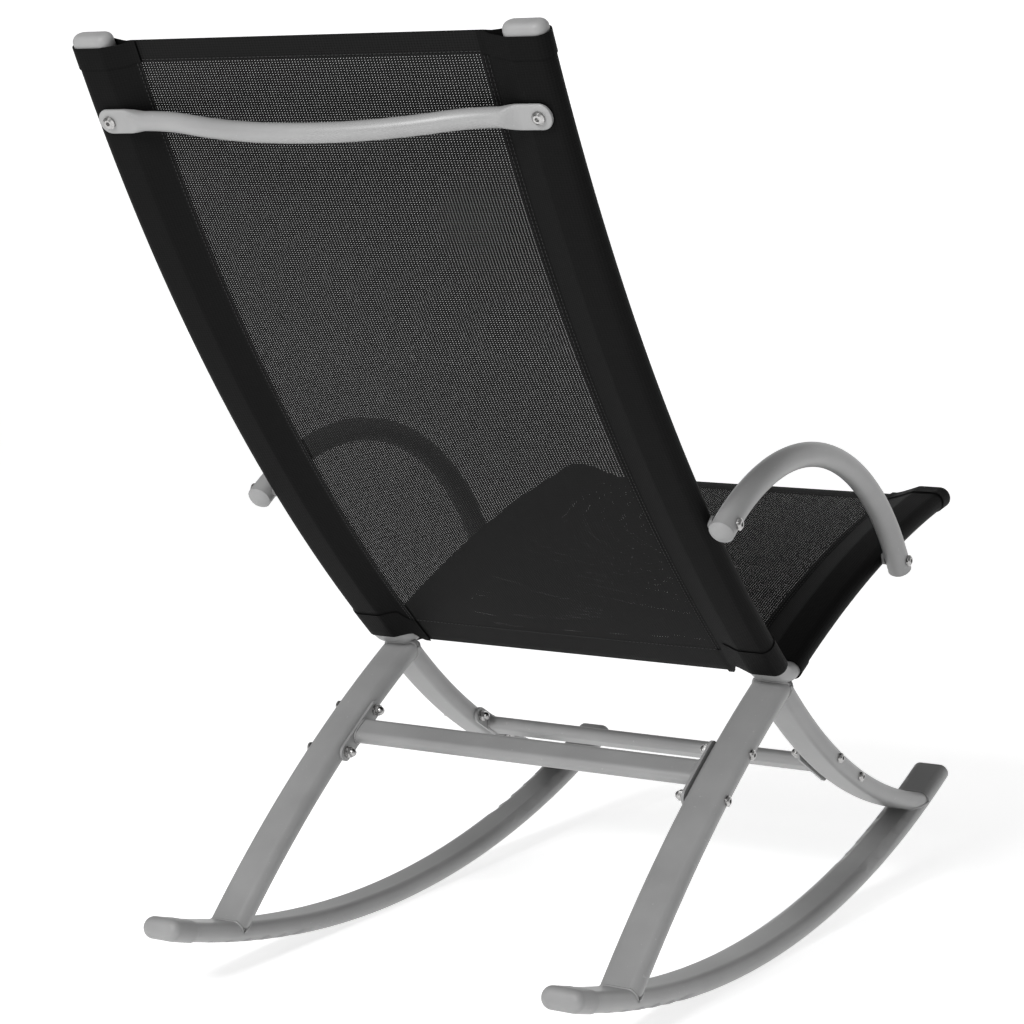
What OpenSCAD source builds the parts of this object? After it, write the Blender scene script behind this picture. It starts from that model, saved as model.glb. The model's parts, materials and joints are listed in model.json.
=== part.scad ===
/* [Frame tubes] */
// Width of the flat-oval frame tube, measured across the chair
tube_w = 42; // [38:1:46]
// Thickness of the frame tube, seen from the side of the chair
tube_t = 20; // [18:1:24]
// Wall of the frame tube
tube_wall = 1.2; // [1:0.1:2]
// Distance between the middles of the two side frames
leg_gap = 440; // [420:5:480]
// Distance between the middles of the left and right seat rails
rail_gap = 448; // [428:1:488]

/* [Back and seat rails] */
// Height of the corner where the back line meets the seat line
hub_z = 284; // [278:1:292]
// Slope of the back rail at the corner
back_angle = 40.3; // [39:0.1:41.5]
// Bend radius of the back rail, which curls gently upright
back_r = 1993; // [1900:10:2200]
// Length of the back rail above the corner bend
back_len = 774; // [740:1:790]
// Slope of the seat rail at the corner
seat_angle = 26.6; // [25.5:0.1:27.5]
// Bend radius of the seat rail, which dips towards the knees
seat_r = 1421; // [1300:10:1600]
// Length of the seat rail in front of the corner bend
seat_len = 418; // [405:1:430]
// Radius of the corner bend
hub_r = 32; // [28:1:36]

/* [Rockers and legs] */
// Radius of the rocker's centre line
rocker_r = 1310; // [1250:10:1400]
// Place of the rocker's lowest point, behind the corner
rocker_back = 43; // [36:0.5:50]
// Length of the rocker behind its lowest point
rocker_rear = 388; // [375:1:400]
// Length of the rocker in front of its lowest point
rocker_front = 494; // [485:1:500]
// Bend radius of the rear leg
rear_leg_r = 1360; // [1250:10:1500]
// Bend radius of the front leg
front_leg_r = 820; // [790:10:860]

/* [Armrests] */
// Diameter of the armrest tube
arm_d = 25; // [22:1:28]
// Radius of the armrest's arch
arm_r = 305; // [295:1:320]

/* [Bars] */
// Width of a crossbar, along the legs
bar_w = 30; // [26:1:34]
// Thickness of a crossbar
bar_t = 15; // [12:1:18]
// Diameter of the bar behind the top of the back
grip_d = 18; // [16:1:20]
// How far that bar bows out behind the back
grip_bow = 25; // [18:1:30]

/* [Cloth] */
// Thickness of the mesh cloth with its hems
cloth_t = 1.5; // [1:0.1:2]

/* [Hidden] */

arc_fn = 360;
round_fn = 40;
small_fn = 32;
steel = "#8e8f91";
plastic = "#9b9c9e";
zinc = "#d4d6d8";
cloth = "#26272a";
leg_x = leg_gap / 2;
rail_x = rail_gap / 2;
gap = 0.15;                                  // room left at a welded or capped joint
over = 1;                                    // how far a cutting shape reaches past its target
bend_step = 0.05;                            // how much slimmer a tube is inside a tight bend
lap = 1;                                     // how far a bend runs into the tubes next to it

// Plane geometry in the chair's side view: [y towards the back, z up]
function along(a) = [cos(a), sin(a)];
function on_arc(c, r, a) = c + r * along(a);
function turn(len, r) = len / r * 180 / PI;
function angle_of(c, p) = atan2(p[1] - c[1], p[0] - c[0]);
// Centre of the arc of radius r from p to q that lies to the left of the way from p to q
function centre_left(p, q, r) =
    let (d = q - p, h = sqrt(r * r - d * d / 4)) (p + q) / 2 + h * [-d[1], d[0]] / norm(d);

// The rail: straight corner lines rounded by hub_r, then long arcs up the back and along the seat
hub = [-137, hub_z];
hub_tangent = hub_r * tan((back_angle + seat_angle) / 2);
back_foot = hub + hub_tangent * along(back_angle);
seat_rear = hub + hub_tangent * along(180 - seat_angle);
back_c = back_foot + back_r * along(back_angle + 90);
seat_c = seat_rear + seat_r * along(-90 - seat_angle);
hub_c = back_foot + hub_r * along(back_angle + 90);
back_a0 = back_angle - 90;
back_a1 = back_a0 + turn(back_len, back_r);
seat_a0 = 90 - seat_angle;
seat_a1 = seat_a0 + turn(seat_len, seat_r);

// The rocker: one arc that stands on the floor at its lowest point
rocker_c = [hub[0] + rocker_back, rocker_r + tube_t / 2];
rocker_a0 = -90 - turn(rocker_front, rocker_r);
rocker_a1 = -90 + turn(rocker_rear, rocker_r);

// The legs: arcs from one point under the corner bend to the rocker
leg_top = hub + [-4, -9.5];
rear_foot_a = -90 + 12.3;
front_foot_a = -90 - 18.9;
rear_foot = on_arc(rocker_c, rocker_r, rear_foot_a);
front_foot = on_arc(rocker_c, rocker_r, front_foot_a);
rear_leg_c = centre_left(rear_foot, leg_top, rear_leg_r);
front_leg_c = centre_left(front_foot, leg_top, front_leg_r);
rear_leg_a0 = angle_of(rear_leg_c, rear_foot);
rear_leg_a1 = angle_of(rear_leg_c, leg_top);
front_leg_a0 = angle_of(front_leg_c, front_foot);
front_leg_a1 = angle_of(front_leg_c, leg_top);
leg_reach = 16;                              // extra length at the top, trimmed by the mitre
mitre_angle = (rear_leg_a1 + front_leg_a1) / 2 + 90;

// Armrests, bolted to the outer edges of the rails
arm_wall = 1.5;
arm_bolt_back = 241;                         // along the back rail from the corner bend
arm_bolt_seat = 225;                         // along the seat rail from the corner bend
arm_tail = 13;                               // tube past each bolt
button_h = 6;                                // crown of the button in the tube's end
button_in = 8;
button_r = (arm_d * arm_d / 4 + button_h * button_h) / (2 * button_h);
arm_back_a = back_a0 + turn(arm_bolt_back, back_r);
arm_seat_a = seat_a0 + turn(arm_bolt_seat, seat_r);
arm_back = on_arc(back_c, back_r, arm_back_a);
arm_front = on_arc(seat_c, seat_r, arm_seat_a);
arm_c = centre_left(arm_back, arm_front, arm_r);
arm_a0 = angle_of(arm_c, arm_back) - turn(arm_tail, arm_r);
arm_a1 = angle_of(arm_c, arm_front) + turn(arm_tail, arm_r);
rail_edge = rail_x + tube_w / 2;
spacer_d = 12;
spacer_t = 3.5;
arm_x = rail_edge + spacer_t + arm_d / 2;

// M6 fasteners
bolt_d = 6;
bolt_hole = 6.4;
head_d = 12;
head_h = 3.6;
small_head_d = 11;
small_head_h = 3.3;
socket_d = 4.6;
socket_h = 2;
insert_d = 9;
insert_hole = 9.2;
insert_len = 12;
insert_bore = 6.1;
washer_d = 12;
washer_t = 1.6;
nut_af = 10;
nut_h = 4.5;
dome_d = 9;

// Crossbars, bolted through the legs
bar_wall = 1.2;
rear_bar_at = 136;                           // from the top of the rear leg to its crossbar
front_bar_at = 190;                          // from the top of the front leg to its crossbar
rear_bar_a = rear_leg_a1 - turn(rear_bar_at, rear_leg_r);
front_bar_a = front_leg_a1 - turn(front_bar_at, front_leg_r);
bar_bolt = 32;                               // from the middle of the bar to each bolt
plate_w = 84;
plate_h = 18;
plate_t = 3;
plate_x = leg_x - tube_w / 2;
bar_half = plate_x - plate_t;

// The bar behind the back, with flattened ends bolted on behind the rails
grip_at = 706;                               // from the corner bend to the bar behind the back
grip_a = back_a0 + turn(grip_at, back_r);
grip_wall = 1.5;
paddle_h = 24;
paddle_t = 3.6;
cloth_gap = 0.3;
sleeve_w = tube_w + 2 * (cloth_gap + cloth_t);
sleeve_t = tube_t + 2 * (cloth_gap + cloth_t);
paddle_n = sleeve_t / 2;
grip_n = paddle_n + paddle_t / 2;
paddle_in = rail_x - 19;                     // where the flattened end starts
grip_end = rail_x - 39;                      // where the bar starts to bow
grip_r1 = 497;
grip_turn = acos(1 - grip_bow / (grip_r1 + 200));
grip_r2 = grip_end / sin(grip_turn) - grip_r1;

// Ends of the tubes
dome_h = 6;
back_rim = 6;
cap_len = 34;
cap_wall = 0.65;
plug_in = 14;

// Slings
panel_half = rail_x - sleeve_w / 2 + cloth_t;
back_cloth_a0 = back_a0 + turn(0.5, back_r);
back_cloth_a1 = back_a1 + turn(3, back_r);  // over the cap's rim
seat_cloth_a0 = seat_a0 + turn(8, seat_r);
seat_cloth_a1 = seat_a1 + turn(over + gap + dome_h + 0.5, seat_r);

// The origin is under the middle of the whole chair
plug_reach = 8.03;                           // what the rocker's tilted front plug adds to its length
front_y = on_arc(rocker_c, rocker_r, rocker_a0)[0] - plug_reach;
rear_y = on_arc(back_c, back_r + sleeve_t / 2, back_cloth_a1)[0];
mid_y = (front_y + rear_y) / 2;

module placed() {
    translate([0, -mid_y, 0]) children();
}

// Flat-oval outline, w across the chair and t in the side view
module oval(w, t) {
    square([t, w - t], center = true);
    for (s = [-1, 1])
        translate([0, s * (w - t) / 2]) circle(d = t, $fn = round_fn);
}

module oval_ring(w, t, wall) {
    difference() {
        oval(w, t);
        oval(w - 2 * wall, t - 2 * wall);
    }
}

// Sweeps a 2-D outline along an arc of the side view, at x
module side_arc(x, c, r, a0, a1) {
    translate([x, c[0], c[1]])
        rotate([90, 0, 90])
            rotate([0, 0, a0])
                rotate_extrude(angle = a1 - a0, $fn = arc_fn)
                    translate([r, 0]) children();
}

// Local frame on an arc of the side view: x outwards from its centre, y along it, z across the chair
module on_line(c, r, a) {
    translate([0, c[0], c[1]])
        rotate([90, 0, 90])
            rotate([0, 0, a])
                translate([r, 0, 0]) children();
}

// The same frame at x, turned so that z runs along the arc, onwards for s = 1 and back for s = -1
module at_end(x, c, r, a, s) {
    translate([x, 0, 0]) on_line(c, r, a) rotate([-90 * s, 0, 0]) children();
}

// A rod or a bore across the chair, from x0 to x1
module across(p, x0, x1, d) {
    translate([min(x0, x1), p[0], p[1]])
        rotate([0, 90, 0]) cylinder(d = d, h = abs(x1 - x0), $fn = round_fn);
}

module tube_ring() {
    oval_ring(tube_w, tube_t, tube_wall);
}

// Bore for a threaded insert in the outer edge of a rail
module edge_bore(p, s) {
    across(p, s * (rail_edge - 8), s * (rail_edge + over), insert_hole);
}

module rail(s) {
    color(steel) {
        difference() {
            side_arc(s * rail_x, back_c, back_r, back_a0, back_a1) tube_ring();
            edge_bore(arm_back, s);
            translate([s * rail_x, 0, 0])
                on_line(back_c, back_r, grip_a)
                    rotate([0, 90, 0]) cylinder(d = insert_hole, h = tube_t, $fn = round_fn);
        }
        side_arc(s * rail_x, hub_c, hub_r, seat_a0 - 180 - turn(lap, hub_r), back_a0 + turn(lap, hub_r))
            oval_ring(tube_w - 2 * bend_step, tube_t - 2 * bend_step, tube_wall);
        difference() {
            side_arc(s * rail_x, seat_c, seat_r, seat_a0, seat_a1) tube_ring();
            edge_bore(arm_front, s);
        }
    }
}

// Room that the corner bend of a rail takes, with a little clearance
module bend_room(x) {
    side_arc(x, hub_c, hub_r, seat_a0 - 180 - 20, back_a0 + 20)
        oval(tube_w + 2 * gap, tube_t + 2 * gap);
}

// Room that the rocker takes around a foot at angle a, as a straight tube with clearance for its bend
module foot_room(x, a) {
    edge_play = 2;
    at_end(x, rocker_c, rocker_r, a, 1)
        linear_extrude(150, center = true) oval(tube_w + edge_play, tube_t + 4 * gap);
}

// Half space in front of the mitre plane (s = -1) or behind it (s = 1), at the top of the legs
module mitre_room(s) {
    translate([0, leg_top[0], leg_top[1]])
        rotate([mitre_angle - 90, 0, 0])
            translate([0, s * (30 - gap), 0])
                cube([2 * leg_x + 2 * tube_w, 60, 90], center = true);
}

// The four through holes of one crossbar's bolts
module crossbar_holes(c, r, a) {
    on_line(c, r, a)
        for (y = [-bar_bolt, bar_bolt])
            translate([0, y, 0])
                cylinder(d = bolt_hole, h = 2 * (leg_x + tube_w), center = true, $fn = round_fn);
}

module rear_leg(s) {
    color(steel)
        difference() {
            side_arc(s * leg_x, rear_leg_c, rear_leg_r, rear_leg_a0,
                     rear_leg_a1 + turn(leg_reach, rear_leg_r))
                oval_ring(tube_w, tube_t, tube_wall);
            bend_room(s * rail_x);
            foot_room(s * leg_x, rear_foot_a);
            mitre_room(-1);
            crossbar_holes(rear_leg_c, rear_leg_r, rear_bar_a);
        }
}

module front_leg(s) {
    color(steel)
        difference() {
            side_arc(s * leg_x, front_leg_c, front_leg_r, front_leg_a0,
                     front_leg_a1 + turn(leg_reach, front_leg_r))
                oval_ring(tube_w, tube_t, tube_wall);
            bend_room(s * rail_x);
            foot_room(s * leg_x, front_foot_a);
            mitre_room(1);
            crossbar_holes(front_leg_c, front_leg_r, front_bar_a);
        }
}

module rocker(s) {
    color(steel)
        side_arc(s * leg_x, rocker_c, rocker_r, rocker_a0, rocker_a1)
            oval_ring(tube_w, tube_t, tube_wall);
}

// Rounded end, from an oval rim at z = 0 to a flat crown at z = h
module dome(w, t, h) {
    steps = 5;
    inset = t / 2 - 2;
    hull()
        for (i = [0:steps])
            translate([0, 0, h * sin(90 * i / steps)])
                linear_extrude(0.01)
                    oval(w - 2 * inset * (1 - cos(90 * i / steps)),
                         t - 2 * inset * (1 - cos(90 * i / steps)), $fn = small_fn);
}

// Plug for a tube's end: a shank inside, a rim of the given size and a domed crown
module tube_plug(w, t, rim) {
    shank = 2 * (tube_wall + gap);
    translate([0, 0, -plug_in]) linear_extrude(plug_in + over) oval(tube_w - shank, tube_t - shank);
    translate([0, 0, gap]) linear_extrude(rim) oval(w, t);
    translate([0, 0, gap + rim]) dome(w, t, dome_h);
}

module back_cap(s) {
    color(plastic) at_end(s * rail_x, back_c, back_r, back_a1, 1) tube_plug(tube_w, tube_t, back_rim);
}

module seat_plug(s) {
    color(plastic) at_end(s * rail_x, seat_c, seat_r, seat_a1, 1) tube_plug(tube_w, tube_t, over);
}

module rocker_front_plug(s) {
    color(plastic) at_end(s * leg_x, rocker_c, rocker_r, rocker_a0, -1) tube_plug(tube_w, tube_t, over);
}

// Slip-on boot over the rear end of a rocker, straight along the middle of its length
module rocker_rear_cap(s) {
    play = 0.25;
    grow = 2 * (play + cap_wall);
    end_t = 4;
    sleeve = cap_len - end_t;
    color(plastic)
        at_end(s * leg_x, rocker_c, rocker_r, rocker_a1 - turn(sleeve / 2, rocker_r), 1)
            difference() {
                union() {
                    translate([0, 0, -sleeve / 2]) linear_extrude(sleeve) oval(tube_w + grow, tube_t + grow);
                    translate([0, 0, sleeve / 2]) dome(tube_w + grow, tube_t + grow, end_t);
                }
                translate([0, 0, -sleeve / 2 - over])
                    linear_extrude(sleeve + over + gap) oval(tube_w + 2 * play, tube_t + 2 * play);
            }
}

module armrest(s) {
    color(steel)
        difference() {
            side_arc(s * arm_x, arm_c, arm_r, arm_a0, arm_a1)
                difference() {
                    circle(d = arm_d, $fn = round_fn);
                    circle(d = arm_d - 2 * arm_wall, $fn = round_fn);
                }
            for (p = [arm_back, arm_front])
                across(p, s * (arm_x - arm_d), s * (arm_x + arm_d), bolt_hole);
        }
}

// Low domed button in the end of an armrest tube
module button_plug() {
    inner = arm_d / 2 - arm_wall - gap;
    rotate_extrude($fn = arc_fn)
        intersection() {
            translate([0, button_h - button_r]) circle(r = button_r, $fn = arc_fn);
            square(arm_d / 2);
        }
    translate([0, 0, -button_in]) cylinder(r = inner, h = button_in + over, $fn = round_fn);
}

module arm_plugs(s) {
    color(plastic) {
        at_end(s * arm_x, arm_c, arm_r, arm_a0 - turn(gap, arm_r), -1) button_plug();
        at_end(s * arm_x, arm_c, arm_r, arm_a1 + turn(gap, arm_r), 1) button_plug();
    }
}

// Bolt along +z with its head's underside at z = 0 and the head above, with a round-bottomed socket
module bolt(len, d, h) {
    difference() {
        union() {
            cylinder(d = d, h = h * 0.55, $fn = round_fn);
            translate([0, 0, h * 0.55]) cylinder(d1 = d, d2 = d * 0.62, h = h * 0.45, $fn = round_fn);
        }
        translate([0, 0, h - socket_h]) cylinder(d = socket_d, h = socket_h + over, $fn = 6);
    }
    translate([0, 0, -len]) cylinder(d = bolt_d, h = len + over / 2, $fn = round_fn);
}

// Turns +z to point away from the chair's middle, on side s, at the side-view point p
module outwards(p, x, s) {
    translate([s * x, p[0], p[1]]) rotate([0, 90 * s, 0]) children();
}

module arm_bolts(s) {
    color(zinc)
        for (p = [arm_back, arm_front])
            outwards(p, arm_x + arm_d / 2, s) bolt(arm_d + spacer_t + insert_len, head_d, head_h);
}

// Saddle spacer between the rounded edge of a rail and the armrest
module saddle(p, a, x0, s) {
    difference() {
        across(p, s * (x0 - 4), s * (x0 + spacer_t), spacer_d);
        across(p, s * (x0 - 5), s * (x0 + spacer_t + over), bolt_hole);
        translate([s * (x0 - tube_t / 2), p[0], p[1]])
            rotate([a, 0, 0]) cylinder(d = tube_t, h = 3 * spacer_d, center = true, $fn = arc_fn);
    }
}

module arm_spacers(s) {
    color(plastic) {
        saddle(arm_back, arm_back_a, rail_edge, s);
        saddle(arm_front, arm_seat_a, rail_edge, s);
    }
}

// Blind rivet nut along +z with its mouth at z = 0
module insert() {
    translate([0, 0, -insert_len])
        difference() {
            union() {
                cylinder(d = insert_d, h = insert_len, $fn = round_fn);
                translate([0, 0, insert_len - 5.2]) cylinder(d = insert_d + 2, h = 2.4, $fn = round_fn);
            }
            translate([0, 0, -over]) cylinder(d = insert_bore, h = insert_len + 2 * over, $fn = round_fn);
        }
}

module arm_inserts(s) {
    color(zinc)
        for (p = [arm_back, arm_front])
            outwards(p, rail_edge - 1.2, s) insert();
}

module crossbar(c, r, a) {
    color(steel)
        on_line(c, r, a)
            linear_extrude(2 * bar_half - 2 * gap, center = true) oval_ring(bar_w, bar_t, bar_wall);
}

module crossbar_plates(c, r, a) {
    color(steel)
        on_line(c, r, a)
            for (s = [-1, 1])
                translate([0, 0, s * (plate_x - plate_t / 2)])
                    difference() {
                        linear_extrude(plate_t - gap, center = true) oval(plate_w, plate_h);
                        for (y = [-bar_bolt, bar_bolt])
                            translate([0, y, 0])
                                cylinder(d = bolt_hole, h = 2 * plate_t, center = true, $fn = round_fn);
                    }
}

// Children at the four bolt places of a crossbar, with +z outwards and z = 0 at x
module bar_bolt_places(c, r, a, x) {
    on_line(c, r, a)
        for (s = [-1, 1], y = [-bar_bolt, bar_bolt])
            translate([0, y, s * x]) rotate([s < 0 ? 180 : 0, 0, 0]) children();
}

module crossbar_bolts(c, r, a) {
    color(zinc)
        bar_bolt_places(c, r, a, leg_x + tube_w / 2)
            bolt(tube_w + plate_t + washer_t + nut_h + 1, small_head_d, small_head_h);
}

module crossbar_washers(c, r, a) {
    color(zinc)
        bar_bolt_places(c, r, a, bar_half - washer_t)
            difference() {
                cylinder(d = washer_d, h = washer_t, $fn = round_fn);
                translate([0, 0, -over]) cylinder(d = bolt_hole, h = 2 * washer_t + over, $fn = round_fn);
            }
}

// Domed nut: a hexagon against the washer and a ball end towards the chair's middle
module crossbar_nuts(c, r, a) {
    color(zinc)
        bar_bolt_places(c, r, a, bar_half - washer_t)
            difference() {
                union() {
                    translate([0, 0, -nut_h]) cylinder(d = nut_af / cos(30), h = nut_h, $fn = 6);
                    translate([0, 0, -nut_h]) sphere(d = dome_d, $fn = round_fn);
                }
                translate([0, 0, -nut_h - 1.5]) cylinder(d = insert_bore, h = nut_h + 2.5, $fn = round_fn);
            }
}

module pipe(d) {
    difference() {
        circle(d = d, $fn = round_fn);
        circle(d = d - 2 * grip_wall, $fn = round_fn);
    }
}

// Flattened end of the bar behind the back, on side s, in a frame with x rearwards and y across
module paddle(s) {
    difference() {
        union() {
            hull() {
                translate([grip_n, s * (grip_end + 5), 0])
                    rotate([90, 0, 0]) cylinder(d = grip_d + 0.2, h = 2, center = true, $fn = small_fn);
                translate([paddle_n, s * paddle_in - 1, -paddle_h / 2]) cube([paddle_t, 2, paddle_h]);
            }
            translate([paddle_n, 0, 0])
                rotate([0, 90, 0])
                    linear_extrude(paddle_t) {
                        translate([-paddle_h / 2, s > 0 ? paddle_in : -rail_x])
                            square([paddle_h, rail_x - paddle_in]);
                        translate([0, s * rail_x]) circle(d = paddle_h, $fn = round_fn);
                    }
        }
        translate([0, s * rail_x, 0])
            rotate([0, 90, 0]) cylinder(d = bolt_hole, h = 3 * paddle_n, $fn = round_fn);
    }
}

module back_bar() {
    lap_turn = turn(lap, grip_r2);
    color(steel)
        at_end(0, back_c, back_r, grip_a, 1) {
            translate([grip_n + grip_bow - grip_r1, 0, 0])
                rotate([0, 0, -grip_turn])
                    rotate_extrude(angle = 2 * grip_turn, $fn = arc_fn) translate([grip_r1, 0]) pipe(grip_d);
            for (s = [-1, 1]) {
                translate([grip_n + grip_r2, s * grip_end, 0])
                    rotate([0, 0, 180 - (s > 0 ? 0 : grip_turn) - lap_turn])
                        rotate_extrude(angle = grip_turn + 2 * lap_turn, $fn = arc_fn)
                            translate([grip_r2, 0]) pipe(grip_d - 2 * bend_step);
                translate([grip_n, s * (grip_end + 2.5), 0])
                    rotate([90, 0, 0]) linear_extrude(5, center = true) pipe(grip_d);
                paddle(s);
            }
        }
}

// Children at the two bolt places behind the rails, with +z rearwards and z = 0 at n
module back_bolt_places(n) {
    on_line(back_c, back_r, grip_a)
        for (s = [-1, 1])
            translate([n, 0, s * rail_x]) rotate([0, 90, 0]) children();
}

module back_bar_bolts() {
    color(zinc) back_bolt_places(paddle_n + paddle_t) bolt(18, head_d, head_h);
}

module back_bar_washers() {
    color(zinc)
        back_bolt_places(tube_t / 2)
            difference() {
                cylinder(d = washer_d, h = paddle_n - tube_t / 2, $fn = round_fn);
                translate([0, 0, -over]) cylinder(d = bolt_hole, h = washer_t + 3 * over, $fn = round_fn);
            }
}

module back_bar_inserts() {
    color(zinc) back_bolt_places(tube_t / 2 - gap) insert();
}

// Cross-section of a sling: a sheet between two sleeves around the rails
module sling_section() {
    for (s = [-1, 1])
        translate([0, s * rail_x])
            difference() {
                oval(sleeve_w, sleeve_t);
                oval(sleeve_w - 2 * cloth_t, sleeve_t - 2 * cloth_t);
            }
    square([cloth_t, 2 * panel_half], center = true);
}

module sleeve_holes(points) {
    for (p = points, s = [-1, 1])
        across(p, s * (rail_edge - 6), s * (rail_edge + 4), spacer_d + 1);
}

module back_sling() {
    color(cloth)
        difference() {
            side_arc(0, back_c, back_r, back_cloth_a0, back_cloth_a1) sling_section();
            sleeve_holes([arm_back]);
            back_bolt_places(tube_t / 2 - over) cylinder(d = washer_d + 1, h = 6, $fn = round_fn);
        }
}

module seat_sling() {
    color(cloth) {
        difference() {
            side_arc(0, seat_c, seat_r, seat_cloth_a0, seat_cloth_a1) sling_section();
            sleeve_holes([arm_front]);
        }
        for (s = [-1, 1])
            at_end(s * rail_x, seat_c, seat_r, seat_cloth_a1, 1)
                translate([0, 0, -over]) linear_extrude(over + cloth_t) oval(sleeve_w - cloth_t, sleeve_t - cloth_t);
    }
}

module left_rail() { placed() rail(1); }
module right_rail() { placed() rail(-1); }
module left_rear_leg() { placed() rear_leg(1); }
module right_rear_leg() { placed() rear_leg(-1); }
module left_front_leg() { placed() front_leg(1); }
module right_front_leg() { placed() front_leg(-1); }
module left_rocker() { placed() rocker(1); }
module right_rocker() { placed() rocker(-1); }
module left_back_cap() { placed() back_cap(1); }
module right_back_cap() { placed() back_cap(-1); }
module left_seat_plug() { placed() seat_plug(1); }
module right_seat_plug() { placed() seat_plug(-1); }
module left_rocker_rear_cap() { placed() rocker_rear_cap(1); }
module right_rocker_rear_cap() { placed() rocker_rear_cap(-1); }
module left_rocker_front_plug() { placed() rocker_front_plug(1); }
module right_rocker_front_plug() { placed() rocker_front_plug(-1); }
module left_armrest() { placed() armrest(1); }
module right_armrest() { placed() armrest(-1); }
module left_arm_plugs() { placed() arm_plugs(1); }
module right_arm_plugs() { placed() arm_plugs(-1); }
module left_arm_bolts() { placed() arm_bolts(1); }
module right_arm_bolts() { placed() arm_bolts(-1); }
module left_arm_spacers() { placed() arm_spacers(1); }
module right_arm_spacers() { placed() arm_spacers(-1); }
module left_arm_inserts() { placed() arm_inserts(1); }
module right_arm_inserts() { placed() arm_inserts(-1); }
module rear_crossbar() { placed() crossbar(rear_leg_c, rear_leg_r, rear_bar_a); }
module rear_crossbar_plates() { placed() crossbar_plates(rear_leg_c, rear_leg_r, rear_bar_a); }
module rear_crossbar_bolts() { placed() crossbar_bolts(rear_leg_c, rear_leg_r, rear_bar_a); }
module rear_crossbar_washers() { placed() crossbar_washers(rear_leg_c, rear_leg_r, rear_bar_a); }
module rear_crossbar_nuts() { placed() crossbar_nuts(rear_leg_c, rear_leg_r, rear_bar_a); }
module front_crossbar() { placed() crossbar(front_leg_c, front_leg_r, front_bar_a); }
module front_crossbar_plates() { placed() crossbar_plates(front_leg_c, front_leg_r, front_bar_a); }
module front_crossbar_bolts() { placed() crossbar_bolts(front_leg_c, front_leg_r, front_bar_a); }
module front_crossbar_washers() { placed() crossbar_washers(front_leg_c, front_leg_r, front_bar_a); }
module front_crossbar_nuts() { placed() crossbar_nuts(front_leg_c, front_leg_r, front_bar_a); }

left_rail();
right_rail();
left_rear_leg();
right_rear_leg();
left_front_leg();
right_front_leg();
left_rocker();
right_rocker();
left_back_cap();
right_back_cap();
left_seat_plug();
right_seat_plug();
left_rocker_rear_cap();
right_rocker_rear_cap();
left_rocker_front_plug();
right_rocker_front_plug();
left_armrest();
right_armrest();
left_arm_plugs();
right_arm_plugs();
left_arm_bolts();
right_arm_bolts();
left_arm_spacers();
right_arm_spacers();
left_arm_inserts();
right_arm_inserts();
rear_crossbar();
rear_crossbar_plates();
rear_crossbar_bolts();
rear_crossbar_washers();
rear_crossbar_nuts();
front_crossbar();
front_crossbar_plates();
front_crossbar_bolts();
front_crossbar_washers();
front_crossbar_nuts();
placed() back_bar();
placed() back_bar_bolts();
placed() back_bar_washers();
placed() back_bar_inserts();
placed() back_sling();
placed() seat_sling();
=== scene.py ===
import json
import math

import bpy
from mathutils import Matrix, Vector


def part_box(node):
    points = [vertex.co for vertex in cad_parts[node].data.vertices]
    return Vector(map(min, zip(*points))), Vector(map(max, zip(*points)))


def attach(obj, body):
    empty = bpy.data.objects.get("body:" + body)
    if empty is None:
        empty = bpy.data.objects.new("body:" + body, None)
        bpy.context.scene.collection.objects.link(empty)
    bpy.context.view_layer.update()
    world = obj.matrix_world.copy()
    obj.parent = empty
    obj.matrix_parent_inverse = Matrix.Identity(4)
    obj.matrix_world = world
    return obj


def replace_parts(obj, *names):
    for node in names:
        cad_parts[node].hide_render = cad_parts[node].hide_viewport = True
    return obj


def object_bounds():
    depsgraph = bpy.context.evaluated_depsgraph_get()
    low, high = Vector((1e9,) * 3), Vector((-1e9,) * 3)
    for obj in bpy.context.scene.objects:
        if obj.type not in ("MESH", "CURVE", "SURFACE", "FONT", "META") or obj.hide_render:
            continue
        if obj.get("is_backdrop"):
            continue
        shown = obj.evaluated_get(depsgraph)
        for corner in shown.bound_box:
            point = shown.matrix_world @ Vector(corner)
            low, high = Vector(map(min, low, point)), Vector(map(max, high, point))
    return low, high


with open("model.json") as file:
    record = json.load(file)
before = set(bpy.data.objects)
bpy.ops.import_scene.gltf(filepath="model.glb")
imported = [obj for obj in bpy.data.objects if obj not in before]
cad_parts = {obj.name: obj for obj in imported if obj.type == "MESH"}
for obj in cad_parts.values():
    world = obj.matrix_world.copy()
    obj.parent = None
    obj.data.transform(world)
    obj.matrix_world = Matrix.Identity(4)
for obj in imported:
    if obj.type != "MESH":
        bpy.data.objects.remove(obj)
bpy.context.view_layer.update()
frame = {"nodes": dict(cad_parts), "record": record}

MM = 0.001
SIDES = (("left", 1), ("right", -1))

# ---------------------------------------------------------------- driving dimensions, in metres
# They repeat the frame's own, so every piece meets its tubes.
# A side-view point is [y towards the back, z up].
TUBE_W, TUBE_T = 42 * MM, 20 * MM
RAIL_X, LEG_X = 224 * MM, 220 * MM
HUB = (-137 * MM, 284 * MM)
BACK_ANGLE, SEAT_ANGLE, HUB_R = 40.3, 26.6, 32 * MM
BACK_R, BACK_LEN = 1993 * MM, 774 * MM
SEAT_R, SEAT_LEN = 1421 * MM, 418 * MM
ROCKER_R, ROCKER_BACK, ROCKER_REAR = 1310 * MM, 43 * MM, 388 * MM
REAR_LEG_R, FRONT_LEG_R = 1360 * MM, 820 * MM
LEG_TOP = (HUB[0] - 4 * MM, HUB[1] - 9.5 * MM)
REAR_FOOT_A, FRONT_FOOT_A = -90 + 12.3, -90 - 18.9
REAR_BAR_AT, FRONT_BAR_AT = 136 * MM, 190 * MM
BAR_W, BAR_T, BAR_HALF = 30 * MM, 15 * MM, 196 * MM
GRIP_AT, GRIP_D, GRIP_BOW = 706 * MM, 18 * MM, 25 * MM
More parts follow.
